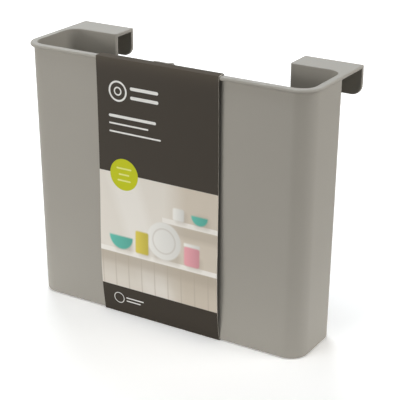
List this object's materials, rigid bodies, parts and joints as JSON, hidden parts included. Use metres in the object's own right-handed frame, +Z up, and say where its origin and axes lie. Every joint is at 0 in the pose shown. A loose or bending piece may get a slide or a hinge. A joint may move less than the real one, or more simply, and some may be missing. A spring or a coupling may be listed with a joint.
{
  "type": "under-shelf wrap and foil organizer",
  "caption": "Tall shallow moulded caddy with hooks at its back corners that go over a shelf, a loose upright divider inside and a printed card sleeve round the middle.",
  "frame": {"origin": "centre of the bounding box in X and Y, at its lowest face, the underside of the card sleeve on which the caddy stands", "axes": "+X along the width, to the right of someone facing the printed front; -Y is the front with the printed panel, +Y the hooks' side; +Z up, out of the mouth"},
  "size_m": [0.3112, 0.104, 0.2622],
  "materials": {
    "caddy_plastic": "fine matt texture, warm grey, moulded in colour",
    "divider_plastic": "satin pale grey, moulded in colour",
    "printed_card": "matt printed card, charcoal with a pale picture panel"
  },
  "bodies": {
    "caddy": {"caddy": "caddy_plastic"},
    "divider": {"divider": "divider_plastic"},
    "card_sleeve": {"card_sleeve": "printed_card"}
  },
  "joints": [
    {"name": "divider_lift", "type": "slide", "parent": "caddy", "child": "divider", "axis": [0, 0, 1], "range_m": [0, 0.262]},
    {"name": "sleeve_shift", "type": "slide", "parent": "caddy", "child": "card_sleeve", "axis": [1, 0, 0], "range_m": [-0.016, 0.019]}
  ]
}
